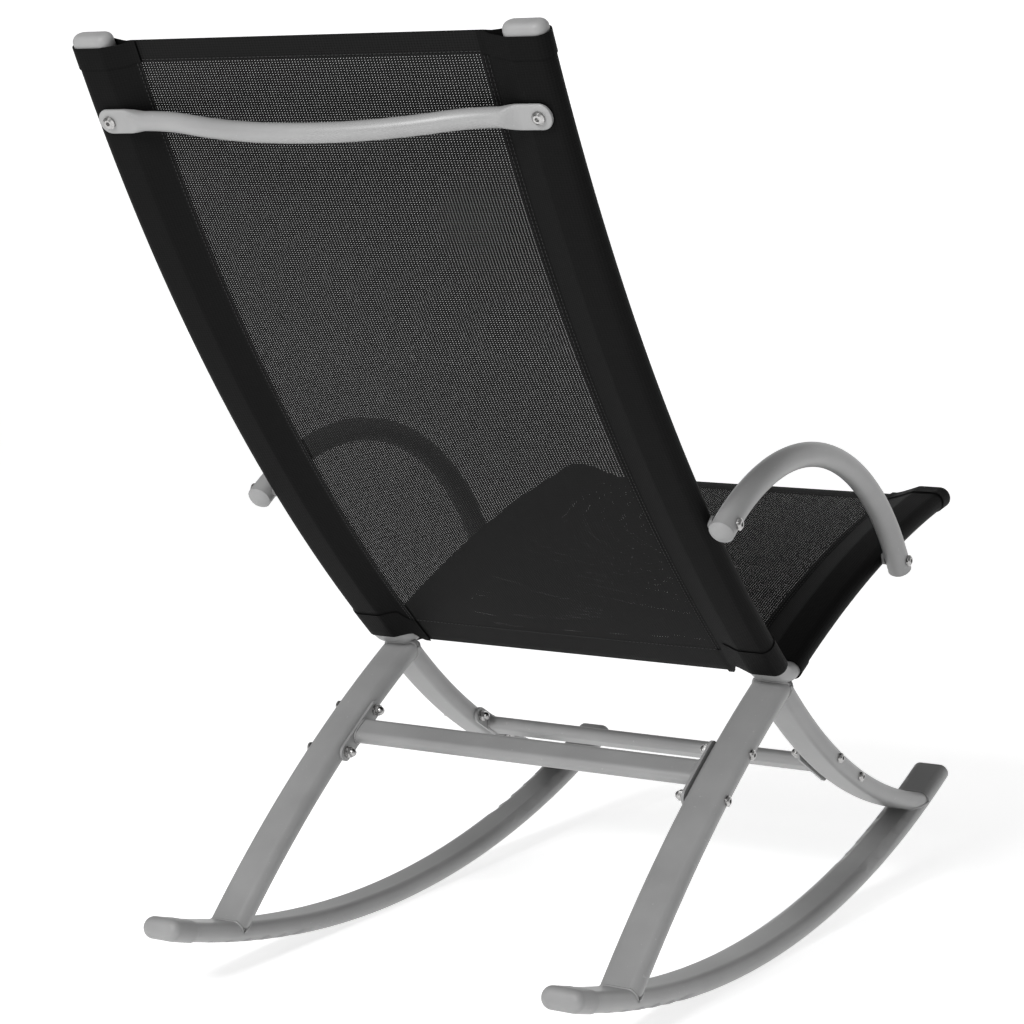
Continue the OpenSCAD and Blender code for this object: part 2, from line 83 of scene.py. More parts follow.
PADDLE_N, PADDLE_T, PADDLE_H = 11.8 * MM, 3.6 * MM, 24 * MM


# ---------------------------------------------------------------- side-view geometry
def rad(a):
    return math.radians(a)


def along(a, r=1.0):
    return (r * math.cos(rad(a)), r * math.sin(rad(a)))


def plus(p, q):
    return (p[0] + q[0], p[1] + q[1])


def centre_left(p, q, r):
    """Centre of the arc of radius r from p to q that lies to the left of the way from p to q."""
    d = (q[0] - p[0], q[1] - p[1])
    length = math.hypot(*d)
    h = math.sqrt(r * r - length * length / 4)
    return ((p[0] + q[0]) / 2 - h * d[1] / length, (p[1] + q[1]) / 2 + h * d[0] / length)


def angle_of(c, p):
    return math.degrees(math.atan2(p[1] - c[1], p[0] - c[0]))


class Arc:
    """A circular arc in the side view, run from angle a0: s is the way along it, n the way out from it."""

    def __init__(self, centre, radius, a0, way=1):
        self.c, self.r, self.a0, self.way = centre, radius, a0, way

    def angle(self, s):
        return self.a0 + self.way * math.degrees(s / self.r)

    def point(self, s, n=0.0):
        return plus(self.c, along(self.angle(s), self.r + n))

    def normal(self, s):
        """Away from the arc's centre."""
        return along(self.angle(s))

    def tangent(self, s):
        return along(self.angle(s) + 90 * self.way)


hub_tangent = HUB_R * math.tan(rad((BACK_ANGLE + SEAT_ANGLE) / 2))
back_foot = plus(HUB, along(BACK_ANGLE, hub_tangent))
seat_rear = plus(HUB, along(180 - SEAT_ANGLE, hub_tangent))
back = Arc(plus(back_foot, along(BACK_ANGLE + 90, BACK_R)), BACK_R, BACK_ANGLE - 90)
seat = Arc(plus(seat_rear, along(-90 - SEAT_ANGLE, SEAT_R)), SEAT_R, 90 - SEAT_ANGLE)
hub = Arc(plus(back_foot, along(BACK_ANGLE + 90, HUB_R)), HUB_R, -90 - SEAT_ANGLE)
rocker = Arc((HUB[0] + ROCKER_BACK, ROCKER_R + TUBE_T / 2), ROCKER_R, -90)
rear_foot = plus(rocker.c, along(REAR_FOOT_A, ROCKER_R))
front_foot = plus(rocker.c, along(FRONT_FOOT_A, ROCKER_R))
rear_leg_c = centre_left(rear_foot, LEG_TOP, REAR_LEG_R)
front_leg_c = centre_left(front_foot, LEG_TOP, FRONT_LEG_R)
rear_leg = Arc(rear_leg_c, REAR_LEG_R, angle_of(rear_leg_c, LEG_TOP), -1)
front_leg = Arc(front_leg_c, FRONT_LEG_R, angle_of(front_leg_c, LEG_TOP), -1)

# The frame's origin is under the middle of the whole chair, and the side view is shifted to it
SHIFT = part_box("left_rail")[1].y - back.point(BACK_LEN, TUBE_T / 2)[0]


def place(x, p):
    """A point of the row frame, from x and a side-view point."""
    return Vector((x, p[0] + SHIFT, p[1]))


# ---------------------------------------------------------------- materials
class Nodes:
    """A short way to write a material's node tree."""

    def __init__(self, name):
        self.material = bpy.data.materials.new(name)
        self.material.use_nodes = True
        self.tree = self.material.node_tree
        self.shader = self.tree.nodes["Principled BSDF"]

    def add(self, kind, **inputs):
        node = self.tree.nodes.new(kind)
        for key, value in inputs.items():
            self.join(value, node.inputs[key.replace("_", " ")])
        return node

    def join(self, value, socket):
        if isinstance(value, bpy.types.NodeSocket):
            self.tree.links.new(value, socket)
        else:
            socket.default_value = value

    def math(self, operation, *values):
        node = self.tree.nodes.new("ShaderNodeMath")
        node.operation = operation
        for value, socket in zip(values, node.inputs):
            self.join(value, socket)
        return node.outputs[0]

    def noise(self, where, scale, detail=2.0):
        node = self.add("ShaderNodeTexNoise", Vector=where, Scale=scale, Detail=detail)
        return node.outputs["Fac"]

    def ramp(self, value, low, high, dark, light):
        node = self.tree.nodes.new("ShaderNodeValToRGB")
        self.join(value, node.inputs[0])
        node.color_ramp.elements[0].position = low
        node.color_ramp.elements[0].color = (*dark, 1)
        node.color_ramp.elements[1].position = high
        node.color_ramp.elements[1].color = (*light, 1)
        return node.outputs["Color"]

    def bump(self, height, distance, strength=1.0):
        node = self.add("ShaderNodeBump", Height=height, Distance=distance, Strength=strength)
        self.join(node.outputs[0], self.shader.inputs["Normal"])

    def set(self, **inputs):
        for key, value in inputs.items():
            self.join(value, self.shader.inputs[key.replace("_", " ")])


def grey(v, warm=0.0):
    return (v * (1 + warm), v, v * (1 - warm))


PAINT_DARK, PAINT_LIGHT, PAINT_WORN = 0.25, 0.29, 0.42
SCUFF_ABOVE, SCUFF_STRENGTH = 0.71, 0.35
PAINT_ROUGH, PAINT_ROUGH_SPREAD = 0.30, 0.16


def steel_paint():
    """Grey powder coat: a fine orange peel, faint mottling and a few lighter scuffs."""
    m = Nodes("steel_paint")
    where = m.add("ShaderNodeTexCoord").outputs["Object"]
    mottle = m.noise(where, 14.0, 3.0)
    scuff = m.noise(where, 260.0, 4.0)
    worn = m.math("MULTIPLY", m.math("GREATER_THAN", scuff, SCUFF_ABOVE), SCUFF_STRENGTH)
    mix = m.add("ShaderNodeMix")
    mix.data_type = "RGBA"
    m.join(worn, mix.inputs["Factor"])
    m.join(m.ramp(mottle, 0.35, 0.7, grey(PAINT_DARK), grey(PAINT_LIGHT)), mix.inputs["A"])
    m.join((*grey(PAINT_WORN), 1), mix.inputs["B"])
    m.set(Base_Color=mix.outputs["Result"])
    m.set(Roughness=m.math("MULTIPLY_ADD", mottle, PAINT_ROUGH_SPREAD, PAINT_ROUGH))
    m.set(Metallic=0.0, IOR=1.5)
    m.bump(m.noise(where, 900.0, 1.0), 0.00006)
    return m.material


def cap_plastic():
    """Moulded end caps in the paint's grey, with a fine spark-eroded grain."""
    m = Nodes("cap_plastic")
    where = m.add("ShaderNodeTexCoord").outputs["Object"]
    tone = m.noise(where, 30.0, 2.0)
    m.set(Base_Color=m.ramp(tone, 0.3, 0.75, grey(PAINT_DARK), grey(PAINT_LIGHT)))
    m.set(Roughness=0.5, IOR=1.46)
    m.bump(m.noise(where, 1600.0, 2.0), 0.00008)
    return m.material


def nylon():
    """Moulded spacers, darker than the paint."""
    m = Nodes("nylon")
    where = m.add("ShaderNodeTexCoord").outputs["Object"]
    m.set(Base_Color=m.ramp(m.noise(where, 80.0), 0.3, 0.7, grey(0.16), grey(0.2)))
    m.set(Roughness=0.45, IOR=1.5)
    m.bump(m.noise(where, 1200.0, 2.0), 0.00005)
    return m.material


def zinc():
    """Zinc plate, dulled, with the faint clouding of barrel plating."""
    m = Nodes("zinc_plate")
    where = m.add("ShaderNodeTexCoord").outputs["Object"]
    cloud = m.noise(where, 420.0, 3.0)
    m.set(Base_Color=m.ramp(cloud, 0.3, 0.75, grey(0.30, 0.01), grey(0.52, 0.01)))
    m.set(Metallic=1.0)
    m.set(Roughness=m.math("MULTIPLY", cloud, 0.5))
    m.bump(cloud, 0.00004)
    return m.material


WEAVE_ACROSS, WEAVE_ALONG = 3.0 * MM, 2.3 * MM     # from yarn to yarn
YARN = {"back": 0.82, "seat": 0.87, "hems": 0.8}   # the share of that which the yarn fills
MESH_TONE, HEM_TONE, PAINTED_YARN_SHADE = 0.010, 0.0055, 0.45   # painted shade: the share of the tone left between the yarns and where they sink under each other
WAVE_MIDDLE, WAVE_DEPTH = 0.65, 0.35               # how a yarn rises over and sinks under the others


def weave_cloth(name, yarn, see_through, tone):
    """Plain weave of coated polyester yarns, laid out by the cloth's own width and length.

    See-through cloth has a hole wherever neither set of yarns is.
    """
    m = Nodes(name)
    split = m.add("ShaderNodeSeparateXYZ", Vector=m.add("ShaderNodeUVMap").outputs["UV"])
    u = m.math("DIVIDE", split.outputs["X"], WEAVE_ACROSS)
    v = m.math("DIVIDE", split.outputs["Y"], WEAVE_ALONG)

    def from_yarn(t):
        return m.math("MULTIPLY", m.math("ABSOLUTE", m.math("SUBTRACT", m.math("FRACT", t), 0.5)), 2.0)

    def round_top(distance):
        share = m.math("DIVIDE", distance, yarn)
        left = m.math("SUBTRACT", 1.0, m.math("MULTIPLY", share, share))
        return m.math("SQRT", m.math("MAXIMUM", left, 0.0))

    def wave(t, other, depth):
        turns = m.math("ADD", m.math("SUBTRACT", t, 0.5), m.math("FLOOR", other))
        rise = m.math("COSINE", m.math("MULTIPLY", turns, math.pi))
        return m.math("MULTIPLY_ADD", rise, depth, WAVE_MIDDLE)

    warp_gap, weft_gap = from_yarn(u), from_yarn(v)
    warp = m.math("MULTIPLY", round_top(warp_gap), wave(v, u, WAVE_DEPTH))
    weft = m.math("MULTIPLY", round_top(weft_gap), wave(u, v, -WAVE_DEPTH))
    height = m.math("MAXIMUM", warp, weft)
    # painted shade: the yarns' colour darkens as their height drops, towards their edges, between them and
    # where they sink
    m.set(Base_Color=m.ramp(height, 0.1, 0.95, grey(tone * PAINTED_YARN_SHADE), grey(tone)))
    m.set(Roughness=0.6, IOR=1.45, Specular_IOR_Level=0.06)
    m.bump(height, 0.00015)
    if see_through:
        past = [m.math("GREATER_THAN", gap, yarn) for gap in (warp_gap, weft_gap)]
        m.set(Alpha=m.math("SUBTRACT", 1.0, m.math("MULTIPLY", *past)))
    return m.material


def thread():
    """Black sewing thread with its twist, and painted shade in the twist's grooves."""
    m = Nodes("sewing_thread")
    where = m.add("ShaderNodeTexCoord").outputs["Object"]
    twist = m.add("ShaderNodeTexWave", Vector=where, Scale=900.0, Distortion=1.0)
    # painted shade: darker where the twist's bump is low, in the grooves between the plies
    m.set(Base_Color=m.ramp(twist.outputs["Fac"], 0.2, 0.8, grey(0.012), grey(0.03)))
    m.set(Roughness=0.6)
    m.bump(twist.outputs["Fac"], 0.00008)
    return m.material


STEEL, PLASTIC, NYLON, ZINC = steel_paint(), cap_plastic(), nylon(), zinc()
MESH = {name: weave_cloth(f"{name}_mesh_cloth", YARN[name], True, MESH_TONE) for name in ("back", "seat")}
HEMS = weave_cloth("hem_cloth", YARN["hems"], False, HEM_TONE)
THREAD = thread()
LOOKS = {
    "steel_tube": STEEL,
    "end_caps": PLASTIC,
    "nylon": NYLON,
    "zinc_fasteners": ZINC,
    "mesh_cloth": HEMS,
}


# ---------------------------------------------------------------- pieces
def piece(name, verts, faces, material, uvs=None):
    """A mesh object that rides with the frame; uvs has one pair for each vertex."""
    mesh = bpy.data.meshes.new(name)
    mesh.from_pydata([tuple(v) for v in verts], [], faces)
    if uvs:
        layer = mesh.uv_layers.new(name="cloth")
        for loop in mesh.loops:
            layer.data[loop.index].uv = uvs[loop.vertex_index]
    mesh.materials.append(material)
    for polygon in mesh.polygons:
        polygon.use_smooth = True
    mesh.update()
    obj = bpy.data.objects.new(name, mesh)
    bpy.context.scene.collection.objects.link(obj)
    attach(obj, "root")
    return obj


def grid_faces(rows, cols, wrap_cols, wrap_rows, start):
    """Faces of a grid of vertices, row after row from number start, closed round either way if asked."""
    faces = []
    for i in range(rows if wrap_rows else rows - 1):
        for j in range(cols if wrap_cols else cols - 1):
            a, b = start + i * cols, start + (i + 1) % rows * cols
            faces.append((a + j, a + (j + 1) % cols, b + (j + 1) % cols, b + j))
    return faces


class Build:
    """Vertices, faces and UVs of one mesh, gathered from several shapes."""

    def __init__(self):
        self.verts, self.faces, self.uvs = [], [], []

    def grid(self, rows, uvs=None, wrap_cols=False, wrap_rows=False, ends=False):
        start, cols = len(self.verts), len(rows[0])
        for row in rows:
            self.verts.extend(row)
        for row in uvs or []:
            self.uvs.extend(row)
        self.faces.extend(grid_faces(len(rows), cols, wrap_cols, wrap_rows, start))
        if ends:
            self.faces.append(tuple(range(start + cols - 1, start - 1, -1)))
            self.faces.append(tuple(range(start + (len(rows) - 1) * cols, start + len(rows) * cols)))

    def piece(self, name, material, slot):
        return piece(name, self.verts, self.faces, material, self.uvs)


def stadium(w, t, steps=10):
    """Closed outline of a flat oval, w along the first axis and t along the second."""
    flat = (w - t) / 2
    points = []
    for side, start in ((1, -90), (-1, 90)):
        for i in range(steps + 1):
            a = start + 180 * i / steps
            points.append((side * flat + along(a, t / 2)[0], along(a, t / 2)[1]))
    return points


# ---------------------------------------------------------------- slings
CLOTH_OFF = 0.75 * MM          # from the tube to the middle of the cloth
SEAM_X = 183 * MM              # where the two layers of a sleeve come together
FLAP_X = 177 * MM              # the turned edge, sewn flat behind the panel
PLY = 1.0 * MM                 # from one layer of cloth to the next
HEM, LOW_HEM = 21 * MM, 42 * MM  # turned edges: the back's lower one is the deep one
HEM_FOLD = 0.4 * MM            # how far the rounded fold at a hem stands out
BLEND_X = 9 * MM               # beside the seam, where a sleeve's end runs into the panel's


def sleeve_section(steps=10):
    """Half of the cloth's way across, as [x, n]: from the flap's edge, round the rail, to the panel."""
    r = TUBE_T / 2 + CLOTH_OFF
    inner, outer = RAIL_X - (TUBE_W - TUBE_T) / 2, RAIL_X + (TUBE_W - TUBE_T) / 2
    tip = math.degrees(math.asin(r / (inner - SEAM_X)))
    touch = plus((inner, 0), along(90 + tip, r))

    def slope(t):
        return (SEAM_X + t * (touch[0] - SEAM_X), PLY * (1 - t) ** 3 + t * touch[1])

    rear = [(FLAP_X + i * MM, PLY) for i in (0, 1.5, 3, 4.5)]
    rear += [slope(t) for t in (0.0, 0.12, 0.3, 0.5, 0.75)]
    bend = [plus((inner, 0), along(90 + tip * (1 - i / 4), r)) for i in range(5)]
    flat = [(inner + (outer - inner) * i / 3, r) for i in (1, 2)]
    wrap = [plus((outer, 0), along(90 - 180 * i / (2 * steps), r)) for i in range(2 * steps + 1)]
    front = [(x, -n) for x, n in reversed(bend + flat)]
    front += [(touch[0] - t * (touch[0] - SEAM_X), -touch[1] * (1 - t)) for t in (0.25, 0.5, 0.75, 1.0)]
    return rear + bend + flat + wrap + front


def cloth_stations(s0, s1, hems, step=11 * MM):
    """Places along the cloth: [which end they are measured from, how far, how far lifted off the panel].

    A place of the kind "run" is a share of the way from end to end instead.
    """
    def turn(hem):
        flat = [(hem - i * hem / 4, PLY) for i in range(4)]
        turns = [along(30 * i) for i in range(7)]
        return flat + [(HEM_FOLD * (1 - up), PLY / 2 * (1 + out)) for out, up in turns]

    count = round((s1 - s0) / step)
    runs = [("run", i / count, 0.0) for i in range(1, count)]
    return [("start", *p) for p in turn(hems[0])] + runs + [("end", *p) for p in reversed(turn(hems[1]))]


def smooth(t):
    """From 0 to 1, with a soft start and end."""
    t = min(1.0, max(0.0, t))
    return t * t * (3 - 2 * t)


def sling(name, node, arc, sleeve_ends, panel_ends, sag, hems):
    """One sheet: a single layer between the rails, closed round each rail, hemmed at both ends."""
    half = sleeve_section()
    cols = 36
    middle = [(SEAM_X * (1 - 2 * i / cols), 0.0) for i in range(1, cols)]
    path = half + middle + [(-x, n) for x, n in reversed(half)]
    widths, outs = [0.0], []
    for p, q in zip(path, path[1:]):
        widths.append(widths[-1] + math.dist(p, q))
    for i, p in enumerate(path):
        a, b = path[max(i - 1, 0)], path[min(i + 1, len(path) - 1)]
        d = math.dist(a, b)
        outs.append((-(b[1] - a[1]) / d, (b[0] - a[0]) / d))
    stations = cloth_stations(*sleeve_ends, hems)
    rows, uvs = [], []
    for kind, a, up in stations:
        row, uv = [], []
        for (x, n), (ox, on), w in zip(path, outs, widths):
            share = smooth((SEAM_X + BLEND_X - abs(x)) / BLEND_X)
            lo = sleeve_ends[0] + share * (panel_ends[0] - sleeve_ends[0])
            hi = sleeve_ends[1] + share * (panel_ends[1] - sleeve_ends[1])
            s = lo + a if kind == "start" else hi - a if kind == "end" else lo + a * (hi - lo)
            belly = sag * max(0.0, 1 - (x / SEAM_X) ** 2) * math.sin(math.pi * (s - lo) / (hi - lo))
            row.append(place(x + ox * up, arc.point(s, n + on * up + belly)))
            uv.append((w, s))
        rows.append(row)
        uvs.append(uv)
    build = Build()
    build.grid(rows, uvs)
    obj = build.piece(name, MESH[name.split("_")[0]], "mesh_cloth")
    obj.data.materials.append(HEMS)
    for k, polygon in enumerate(obj.data.polygons):
        i, j = divmod(k, len(path) - 1)
        open_cloth = all(abs(path[c][0]) <= SEAM_X and path[c][1] == 0.0 for c in (j, j + 1))
        hem = stations[i][0] == stations[i + 1][0] != "run"
        polygon.material_index = 0 if open_cloth and not hem else 1
    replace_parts(obj, node)
    return obj


def sleeve_end(name, arc, s0, x, reach):
    """Sewn end of a closed sleeve, from s0 on, drawn in over reach round the plug inside it."""
    rows, uvs = [], []
    w, t = TUBE_W + 2 * CLOTH_OFF, TUBE_T + 2 * CLOTH_OFF
    for i in range(-2, 9):
        turn = max(0, i) * 90 / 8
        s = s0 + min(0, i) * 2 * MM + reach * math.sin(rad(turn))
        inset = 0.45 * t * (1 - math.cos(rad(turn)))
        ring = stadium(w - 2 * inset, t - 2 * inset)
        rows.append([place(x + a, arc.point(s, b)) for a, b in ring])
        uvs.append([(k * w / 20, s) for k in range(len(ring))])
    build = Build()
    build.grid(rows, uvs, wrap_cols=True)
    build.faces.append(tuple(range(len(build.verts) - len(rows[-1]), len(build.verts))))
    return build.piece(name, HEMS, "mesh_cloth")


STITCH, STITCH_GAP, THREAD_D = 3.0 * MM, 1.3 * MM, 0.6 * MM


def stitch(build, a, b, up):
    """One length of thread from a to b, its middle lifted and its ends pulled into the cloth."""
    side = (b - a).cross(up).normalized()
    rows = []
    for t, lift, thick in ((0.0, -0.3, 0.55), (0.22, 0.3, 1.0), (0.78, 0.3, 1.0), (1.0, -0.3, 0.55)):
        middle = a.lerp(b, t) + up * (lift * THREAD_D)
        r = THREAD_D / 2 * thick
        rows.append([middle + side * along(60 * k, r)[0] + up * along(60 * k, r)[1] for k in range(6)])
    build.grid(rows, wrap_cols=True, ends=True)


def sew(build, where, length, faces):
    """A row of stitches on each face; where(d, n) is the point d along the row, n off the panel."""
    count = int(length / (STITCH + STITCH_GAP))
    for i in range(count):
        d = (i + 0.15) * length / count
        for n in faces:
            a, b = where(d, n), where(d + STITCH, n)
            up = (where(d, n + math.copysign(MM, n)) - a).normalized()
            stitch(build, a, b, up)


def sling_stitches(name, arc, panel_ends, sag, hems):
    """Two rows of stitches along each seam, and one along each hem."""
    build = Build()
    lo, hi = panel_ends

    def belly(x, s):
        return sag * max(0.0, 1 - (x / SEAM_X) ** 2) * math.sin(math.pi * (s - lo) / (hi - lo))

    for side in (1, -1):
        for x in (side * (FLAP_X + 1.6 * MM), side * (FLAP_X + 5.0 * MM)):
            sew(build, lambda d, n: place(x, arc.point(lo + d, n + belly(x, lo + d))), hi - lo,
                (PLY + 0.1 * MM, -0.1 * MM))
    for s in (lo + hems[0] - 2 * MM, hi - hems[1] + 2 * MM):
        sew(build, lambda d, n: place(d - FLAP_X, arc.point(s, n + belly(d - FLAP_X, s))), 2 * FLAP_X,
            (0.1 * MM, -PLY - 0.1 * MM))
    return build.piece(name, THREAD, "mesh_cloth")


# Where the sleeves and the panel between them start and end along the rail, and the panel's sag
BACK_SLEEVE, BACK_PANEL, BACK_SAG = (3.5 * MM, BACK_LEN + 3 * MM), (-14 * MM, BACK_LEN + 5 * MM), 5 * MM
SEAT_SLEEVE, SEAT_PANEL, SEAT_SAG = (-5 * MM, SEAT_LEN + 1 * MM), (3 * MM, SEAT_LEN + 2 * MM), -4 * MM
SLEEVE_END_AT, SLEEVE_END_REACH = SEAT_LEN - 1 * MM, 8.6 * MM


def slings():
    """The two sheets, with their stitches and the seat's closed sleeve ends."""
    cloth = {}
    for name, arc, sleeve, panel, sag, hems in (
            ("back", back, BACK_SLEEVE, BACK_PANEL, BACK_SAG, (LOW_HEM, HEM)),
            ("seat", seat, SEAT_SLEEVE, SEAT_PANEL, SEAT_SAG, (HEM, HEM))):
        sheet = sling(f"{name}_sling_cloth", f"{name}_sling", arc, sleeve, panel, sag, hems)
        cloth[name] = (sheet, [sling_stitches(f"{name}_sling_stitches", arc, panel, sag, hems)])
    for side, sign in SIDES:
        end = sleeve_end(f"{side}_seat_sleeve_end", seat, SLEEVE_END_AT, sign * RAIL_X, SLEEVE_END_REACH)
        cloth["seat"][1].append(end)
    half = sleeve_section()
    round_rail = sum(math.dist(p, q) for p, q in zip(half, half[1:]))
    for name, length in (("back", BACK_PANEL[1] - BACK_PANEL[0] + LOW_HEM + HEM),
                         ("seat", SEAT_PANEL[1] - SEAT_PANEL[0] + 2 * HEM)):
        sheet, extras = cloth[name]


# ---------------------------------------------------------------- steel and plastic details
PRESS_START, PRESS_END = RAIL_X - 39 * MM, RAIL_X - 17 * MM   # where the round tube turns flat
BOW_R, SWEEP_R = 497 * MM, 200 * MM    # SWEEP_R is fitted afterwards, to end at PRESS_START


def bar_behind_back():
    """Round tube that bows out behind the back, its ends pressed flat, rounded off and bolted on."""
    grip_n = PADDLE_N + PADDLE_T / 2
    end, flat = PRESS_START, PRESS_END
    turn = math.acos(1 - GRIP_BOW / (BOW_R + SWEEP_R))
    r1, r2 = BOW_R, end / math.sin(turn) - BOW_R
    half_h, half_t = PADDLE_H / 2, PADDLE_T / 2

    def lift(x):
        """How far the bar's middle is off the rails' middle."""
        x = abs(x)
        if x <= r1 * math.sin(turn):
            return grip_n + GRIP_BOW - r1 + math.sqrt(r1 * r1 - x * x)
        return grip_n + r2 - math.sqrt(r2 * r2 - (end - min(x, end)) ** 2)

    def section(x):
        """Half height, half thickness and squareness of the tube at x."""
        pressed = smooth((abs(x) - end) / (flat - end))
        h = GRIP_D / 2 + pressed * (half_h - GRIP_D / 2)
        t = GRIP_D / 2 + pressed * (half_t - GRIP_D / 2)
        past = max(0.0, abs(x) - RAIL_X)
        h *= math.sqrt(max(0.0, 1 - (past / half_h) ** 2.4))
        return h, t * min(1.0, 0.35 + 0.65 * h / half_t), 2 + 3 * pressed

    xs = [end * i / 40 for i in range(-40, 41)]
    tails = [end + (flat - end) * i / 16 for i in range(1, 17)]
    tails += [flat + (RAIL_X - flat) * i / 4 for i in (1, 2, 3)]
    tails += [RAIL_X + half_h * math.sin(rad(90 * i / 14)) for i in range(14)]
    xs = [-x for x in reversed(tails)] + xs + tails
    ups, out = Vector((0, *back.tangent(GRIP_AT))), Vector((0, *back.normal(GRIP_AT)))
    rows = []
    for x in xs:
        slope = (lift(x + 0.5 * MM) - lift(x - 0.5 * MM)) / MM
        across = Vector((1, 0, 0)) + out * slope
        off = (out - Vector((1, 0, 0)) * slope) / across.length
        h, t, power = section(x)
        middle = place(0, back.point(GRIP_AT, lift(x))) + Vector((x, 0, 0))
        ring = []
        for k in range(32):
            c, s = along(360 * k / 32)
            a = math.copysign(abs(c) ** (2 / power), c) * h
            b = math.copysign(abs(s) ** (2 / power), s) * t
            ring.append(middle + ups * a + off * b)
        rows.append(ring)
    build = Build()
    build.grid(rows, wrap_cols=True, ends=True)
    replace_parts(build.piece("back_bar_tube", STEEL, "steel_tube"), "back_bar")


LIP = 0.5 * MM                 # the rounded edge of a cap's mouth
CROWN_STEP = 9                 # degrees, from ring to ring of its crown


def boot(name, node, arc, x, s0, s1, w, t, crown, inset):
    """Moulded cap at a tube's end: a straight skirt from s0 to s1 and a rounded crown beyond."""
    rows = []
    steps = [(s0, LIP * 1.5), (s0, LIP), (s0 + LIP * 0.3, LIP * 0.3), (s0 + LIP, 0.0)]
    steps += [(s0 + (s1 - s0) * i / 6, 0.0) for i in range(1, 7)]
    for a in range(CROWN_STEP, 91, CROWN_STEP):
        steps.append((s1 + crown * math.sin(rad(a)), inset * (1 - math.cos(rad(a)))))
    for s, i in steps:
        rows.append([place(x + a, arc.point(s, b)) for a, b in stadium(w - 2 * i, t - 2 * i, 14)])
    build = Build()
    build.grid(rows, wrap_cols=True, ends=True)
    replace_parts(build.piece(name, PLASTIC, "end_caps"), node)


BACK_CAP_SKIRT = (BACK_LEN + 0.15 * MM, BACK_LEN + 5.4 * MM)
BOOT_SKIRT, BOOT_OVER = (ROCKER_REAR - 31 * MM, ROCKER_REAR - 2 * MM), 1.8 * MM


def caps():
    """The caps on the back rails, and the boots that go over the rockers' rear ends."""
    for side, sign in SIDES:
        boot(f"{side}_back_cap_moulding", f"{side}_back_cap", back, sign * RAIL_X, *BACK_CAP_SKIRT,
             TUBE_W, TUBE_T, 7 * MM, 7 * MM)
        boot(f"{side}_rocker_rear_boot", f"{side}_rocker_rear_cap", rocker, sign * LEG_X, *BOOT_SKIRT,
             TUBE_W + BOOT_OVER, TUBE_T + BOOT_OVER, 8 * MM, 8.5 * MM)


def bead(build, points, radius):
    """A closed weld bead through points, slightly uneven like a hand weld."""
    rows, n = [], len(points)
    for i, p in enumerate(points):
        d = (points[(i + 1) % n] - points[i - 1]).normalized()
        side = d.cross(Vector((0.31, 0.42, 0.85))).normalized()
        up = d.cross(side)
        r = radius * (1 + 0.12 * math.sin(i * 2.3) + 0.08 * math.sin(i * 5.1))
        rows.append([p + side * along(45 * k, r)[0] + up * along(45 * k, r)[1] for k in range(8)])
    build.grid(rows, wrap_cols=True, wrap_rows=True)


def tube_half(offset):
    """Half the flat oval's thickness at a distance across it from its middle."""
    past = max(0.0, abs(offset) - (TUBE_W - TUBE_T) / 2)
    return math.sqrt(max(0.0, (TUBE_T / 2) ** 2 - past * past))


def off_arc(arc, length, p):
    """How far a side-view point is from the first length of an arc."""
    s = arc.way * rad((angle_of(arc.c, p) - arc.a0 + 180) % 360 - 180) * arc.r
    return math.dist(p, arc.point(min(length, max(0.0, s))))


HUB_LEN = HUB_R * rad(BACK_ANGLE + SEAT_ANGLE)
REAR_LEG_LEN = 400 * MM        # longer than the leg
BEAD_R, RAIL_BEAD_R, BAR_BEAD_R = 1.5 * MM, 1.6 * MM, 1.1 * MM
SEARCH = 60 * MM               # how far before its end a leg is still clear of what it meets


def to_rail(x, p):
    """The way from a point to the rail's surface, below zero inside it. The next three are alike."""
    d = min(off_arc(back, BACK_LEN, p), off_arc(seat, SEAT_LEN, p), off_arc(hub, HUB_LEN, p))
    return d - tube_half(abs(x) - RAIL_X)


def to_rocker(x, p):
    return abs(math.dist(p, rocker.c) - ROCKER_R) - tube_half(abs(x) - LEG_X)


def to_rear_leg(x, p):
    return off_arc(rear_leg, REAR_LEG_LEN, p) - tube_half(abs(x) - LEG_X)


def to_rail_or_rear_leg(x, p):
    return min(to_rail(x, p), to_rear_leg(x, p))


def joint_line(arc, sign, clear_s, tight_s, reach, steps=120):
    """Where a tube that comes along arc meets another: reach(x, p) is the way left to its surface."""
    points = []
    for a, b in stadium(TUBE_W, TUBE_T, 12):
        x = sign * LEG_X + a
        s, step = clear_s, (tight_s - clear_s) / steps
        for _ in range(steps):
            if reach(x, arc.point(s + step, b)) <= 0:
                break
            s += step
        points.append(place(x, arc.point(s, b)))
    return points


def foot_length(arc, foot):
    """The way along a leg to its foot."""
    return abs(rad(angle_of(arc.c, foot) - arc.a0)) * arc.r


def welds():
    """Beads at both ends of each leg and round each crossbar's end, one piece for each side."""
    for side, sign in SIDES:
        build = Build()
        for arc, foot in ((rear_leg, rear_foot), (front_leg, front_foot)):
            s = foot_length(arc, foot)
            bead(build, joint_line(arc, sign, s - SEARCH, s, to_rocker), BEAD_R)
        bead(build, joint_line(rear_leg, sign, SEARCH, 0.0, to_rail), RAIL_BEAD_R)
        top = joint_line(front_leg, sign, SEARCH + 10 * MM, 0.0, to_rail_or_rear_leg)
        bead(build, top, RAIL_BEAD_R)
        for arc, at in ((rear_leg, REAR_BAR_AT), (front_leg, FRONT_BAR_AT)):
            ring = stadium(BAR_W + 0.6 * MM, BAR_T + 0.6 * MM, 8)
            x = sign * (BAR_HALF - 0.8 * MM)
            bead(build, [place(x, arc.point(at + a, b)) for a, b in ring], BAR_BEAD_R)
        build.piece(f"{side}_welds", STEEL, "steel_tube")


# ---------------------------------------------------------------- stage and camera
FLOOR_TONE, FLOOR_GLOW, SKY = 0.86, 0.62, 0.28


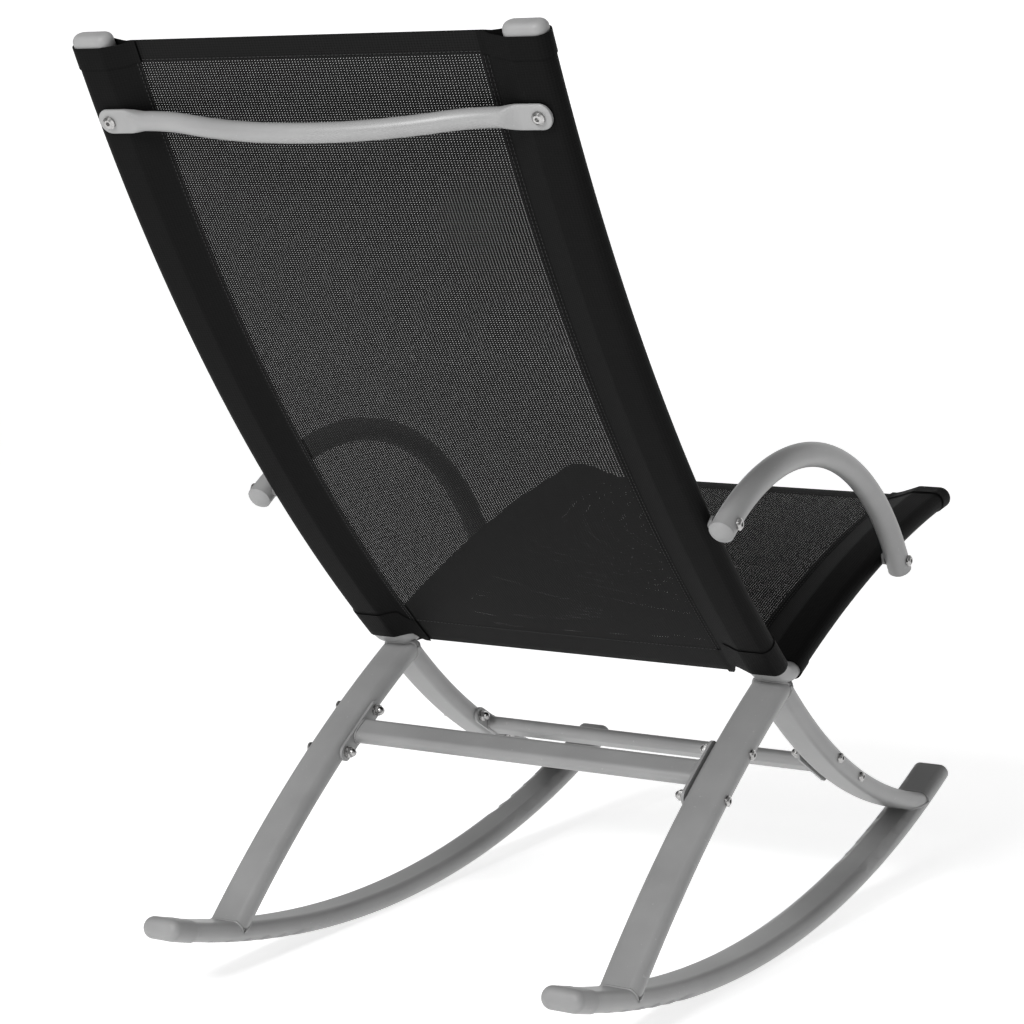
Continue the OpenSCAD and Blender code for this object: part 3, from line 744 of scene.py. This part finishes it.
def stage():
    """A pale floor that curves up into a backdrop in front of the chair, far from it."""
    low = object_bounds()[0]
    mesh = bpy.data.meshes.new("floor")
    far, rise, bend = 9.0, 5.0, 1.2
    profile = [(-far, 0.0), (far - bend, 0.0)]
    for i in range(1, 11):
        out, up = bend * math.sin(rad(9 * i)), bend * math.cos(rad(9 * i))
        profile.append((far - bend + out, bend - up))
    profile.append((far, rise))
    verts = [(x, -y, low[2] + z) for y, z in profile for x in (-far, far)]
    faces = [(2 * i, 2 * i + 1, 2 * i + 3, 2 * i + 2) for i in range(len(profile) - 1)]
    mesh.from_pydata(verts, [], faces)
    for polygon in mesh.polygons:
        polygon.use_smooth = True
    m = Nodes("pale_floor")
    m.set(Base_Color=(*grey(FLOOR_TONE), 1), Roughness=0.7)
    m.set(Emission_Color=(*grey(1), 1), Emission_Strength=FLOOR_GLOW)
    mesh.materials.append(m.material)
    floor = bpy.data.objects.new("floor", mesh)
    bpy.context.scene.collection.objects.link(floor)
    floor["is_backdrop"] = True


def light(name, place_at, aim, size, power):
    data = bpy.data.lights.new(name, "AREA")
    data.shape = "DISK"
    data.size = size
    data.energy = power
    lamp = bpy.data.objects.new(name, data)
    lamp.location = place_at
    lamp.rotation_euler = (Vector(aim) - Vector(place_at)).to_track_quat("-Z", "Y").to_euler()
    bpy.context.scene.collection.objects.link(lamp)


def lights():
    """A strong soft light from high behind the chair, two weak ones and an even white sky."""
    middle = (0, 0, 0.45)
    light("top_light", (0.2, 0.6, 3.4), middle, 3.0, 8)
    light("key_light", (0.3, 3.5, 2.7), middle, 1.5, 125)
    light("fill_light", (-3.0, 1.6, 1.6), middle, 2.0, 1.5)
    world = bpy.data.worlds.new("studio")
    world.use_nodes = True
    sky = world.node_tree.nodes["Background"]
    sky.inputs["Color"].default_value = (1, 1, 1, 1)
    sky.inputs["Strength"].default_value = SKY
    bpy.context.scene.world = world


VIEW_AZIMUTH, VIEW_ELEVATION, VIEW_DISTANCE = 210.29, 7.25, 2.6833
VIEW_AIM = (0.0, 0.0, 452.3 * MM)
LENS, SENSOR = 95.17, 36.0


def camera():
    """Behind the chair and to the sitter's right, a little above the seat."""
    a, e = rad(VIEW_AZIMUTH), rad(VIEW_ELEVATION)
    aim = place(VIEW_AIM[0], VIEW_AIM[1:])
    towards = Vector((math.sin(a) * math.cos(e), -math.cos(a) * math.cos(e), math.sin(e)))
    data = bpy.data.cameras.new("camera")
    data.lens, data.sensor_width = LENS, SENSOR
    obj = bpy.data.objects.new("camera", data)
    obj.location = aim + VIEW_DISTANCE * towards
    obj.rotation_euler = (-towards).to_track_quat("-Z", "Y").to_euler()
    bpy.context.scene.collection.objects.link(obj)
    bpy.context.scene.camera = obj
    bpy.context.scene.view_settings.view_transform = "Standard"


def dress_frame():
    """The frame's own nodes take the record's slots' looks."""
    slots = {s["node"]: s["material_slot"] for s in frame["record"]["subparts"]}
    for name, node in frame["nodes"].items():
        node.data.materials.clear()
        node.data.materials.append(LOOKS[slots[name]])


stage()
lights()
camera()
dress_frame()
slings()
bar_behind_back()
caps()
welds()
